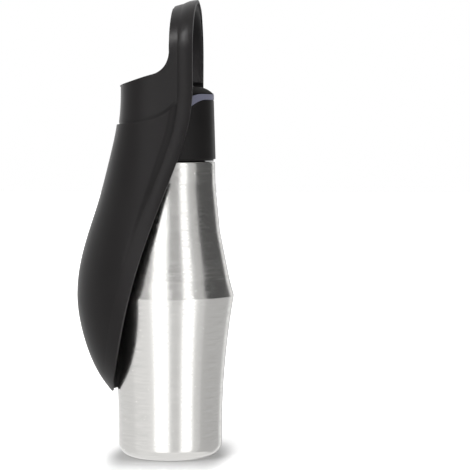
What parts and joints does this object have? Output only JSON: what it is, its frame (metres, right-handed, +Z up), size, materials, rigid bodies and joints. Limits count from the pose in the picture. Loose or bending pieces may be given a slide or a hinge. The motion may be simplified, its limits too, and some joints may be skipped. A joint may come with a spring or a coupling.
{
  "type": "dog travel water bottle",
  "caption": "Waisted steel flask with a screw cap and a leaf-shaped drinking trough that swings on the cap; the trough's upper end is a carrying loop.",
  "frame": {"origin": "centre of the flask's flat foot, on the flask's axis", "axes": "+Z up along the flask's axis; -Y is the front, where the flask is bare; the trough lies at +Y and swings about X"},
  "size_m": [0.0834, 0.0989, 0.2869],
  "materials": {
    "brushed_steel": "spun stainless steel, brushed round the axis",
    "satin_steel": "satin stainless steel",
    "pin_steel": "turned stainless steel",
    "black_plastic": "fine moulded texture, soft sheen",
    "black_plastic_inner": "plain moulded",
    "black_knob": "satin moulded",
    "black_frame": "satin moulded",
    "black_bowl": "satin moulded",
    "dark_acetal": "smooth",
    "grip_rubber": "soft grip rubber",
    "lavender_silicone": "matt silicone, lavender grey",
    "clear_silicone": "milky silicone"
  },
  "bodies": {
    "flask": {"outer_shell": "brushed_steel", "base_plate": "brushed_steel", "inner_liner": "satin_steel"},
    "neck_seal": {"neck_gasket": "clear_silicone"},
    "cap": {"cap_skirt": "black_plastic", "thread_insert": "black_plastic_inner", "accent_gasket": "lavender_silicone", "cap_top": "black_plastic", "valve_post": "black_plastic_inner", "vent_valve": "clear_silicone", "pivot_washers": "dark_acetal"},
    "valve": {"valve_knob": "black_knob", "valve_o_ring": "clear_silicone"},
    "trough": {"trough_frame": "black_frame", "trough_bowl": "black_bowl", "grip_liner": "grip_rubber", "pivot_pins": "pin_steel"}
  },
  "joints": [
    {"name": "cap_rise", "type": "slide", "parent": "flask", "child": "neck_seal", "axis": [0, 0, 1], "range_m": [0, 0.0151]},
    {"name": "cap_turn", "type": "hinge", "parent": "neck_seal", "child": "cap", "pos_m": [0, 0, 0.2026], "axis": [0, 0, 1], "range_deg": [0, 540]},
    {"name": "trough_swing", "type": "hinge", "parent": "cap", "child": "trough", "pos_m": [0, 0, 0.22], "axis": [1, 0, 0], "range_deg": [0, 130]},
    {"name": "valve_pull", "type": "slide", "parent": "cap", "child": "valve", "axis": [0, 0, 1], "range_m": [0, 0.005]}
  ],
  "couplings": [
    {"joint": "cap_rise", "follows": "cap_turn", "m_per_rad": 0.0015915}
  ]
}
